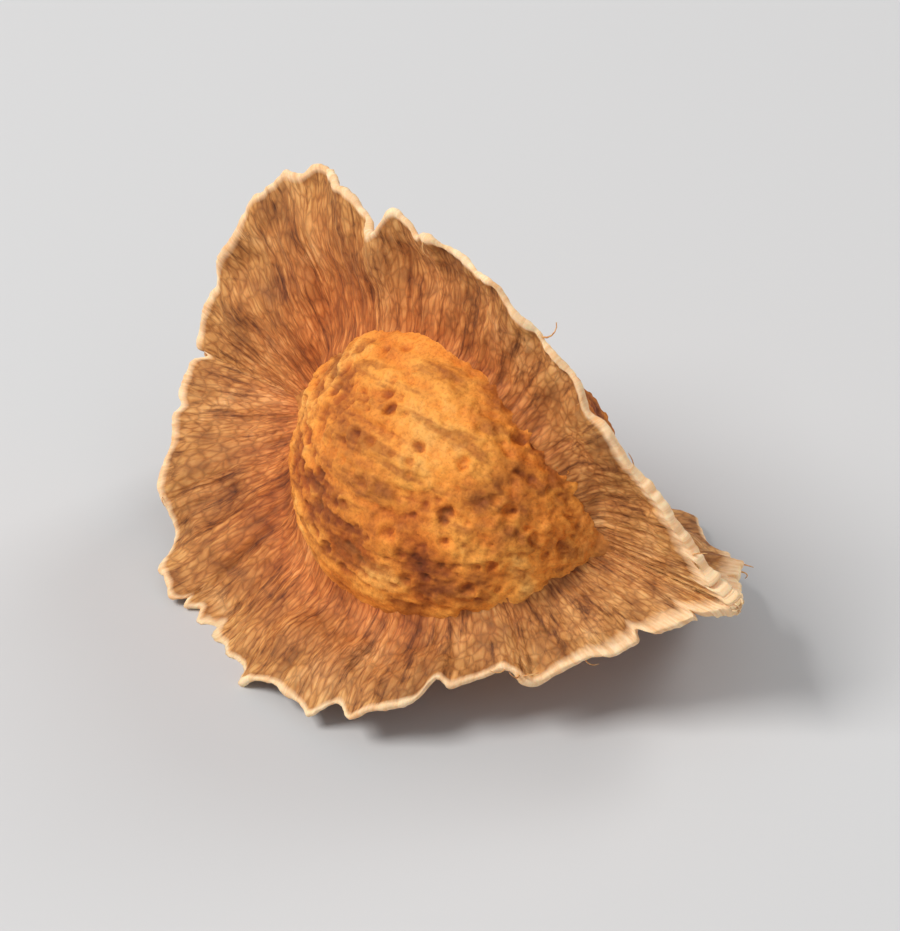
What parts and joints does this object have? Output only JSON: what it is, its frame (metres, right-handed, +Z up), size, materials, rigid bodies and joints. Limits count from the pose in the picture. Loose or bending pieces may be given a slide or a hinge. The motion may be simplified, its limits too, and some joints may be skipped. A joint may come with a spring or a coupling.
{
  "type": "moringa seed",
  "caption": "Dried moringa seed: a rounded hull with papery, scalloped wings that meet in a beak, lying on the margins of its lower wings.",
  "frame": {"origin": "on the surface that the seed lies on, under the middle of its bounding box", "axes": "+X along the seed from its blunt end to its beak, +Z up from the surface it lies on"},
  "size_m": [0.021, 0.0165, 0.0139],
  "materials": {
    "seed_coat": "matte, pitted and corky orange brown",
    "wing_tissue": "matte, thin and fibrous, tan with cream margins"
  },
  "bodies": {
    "root": {"winged_seed": "seed_coat"}
  },
  "joints": []
}
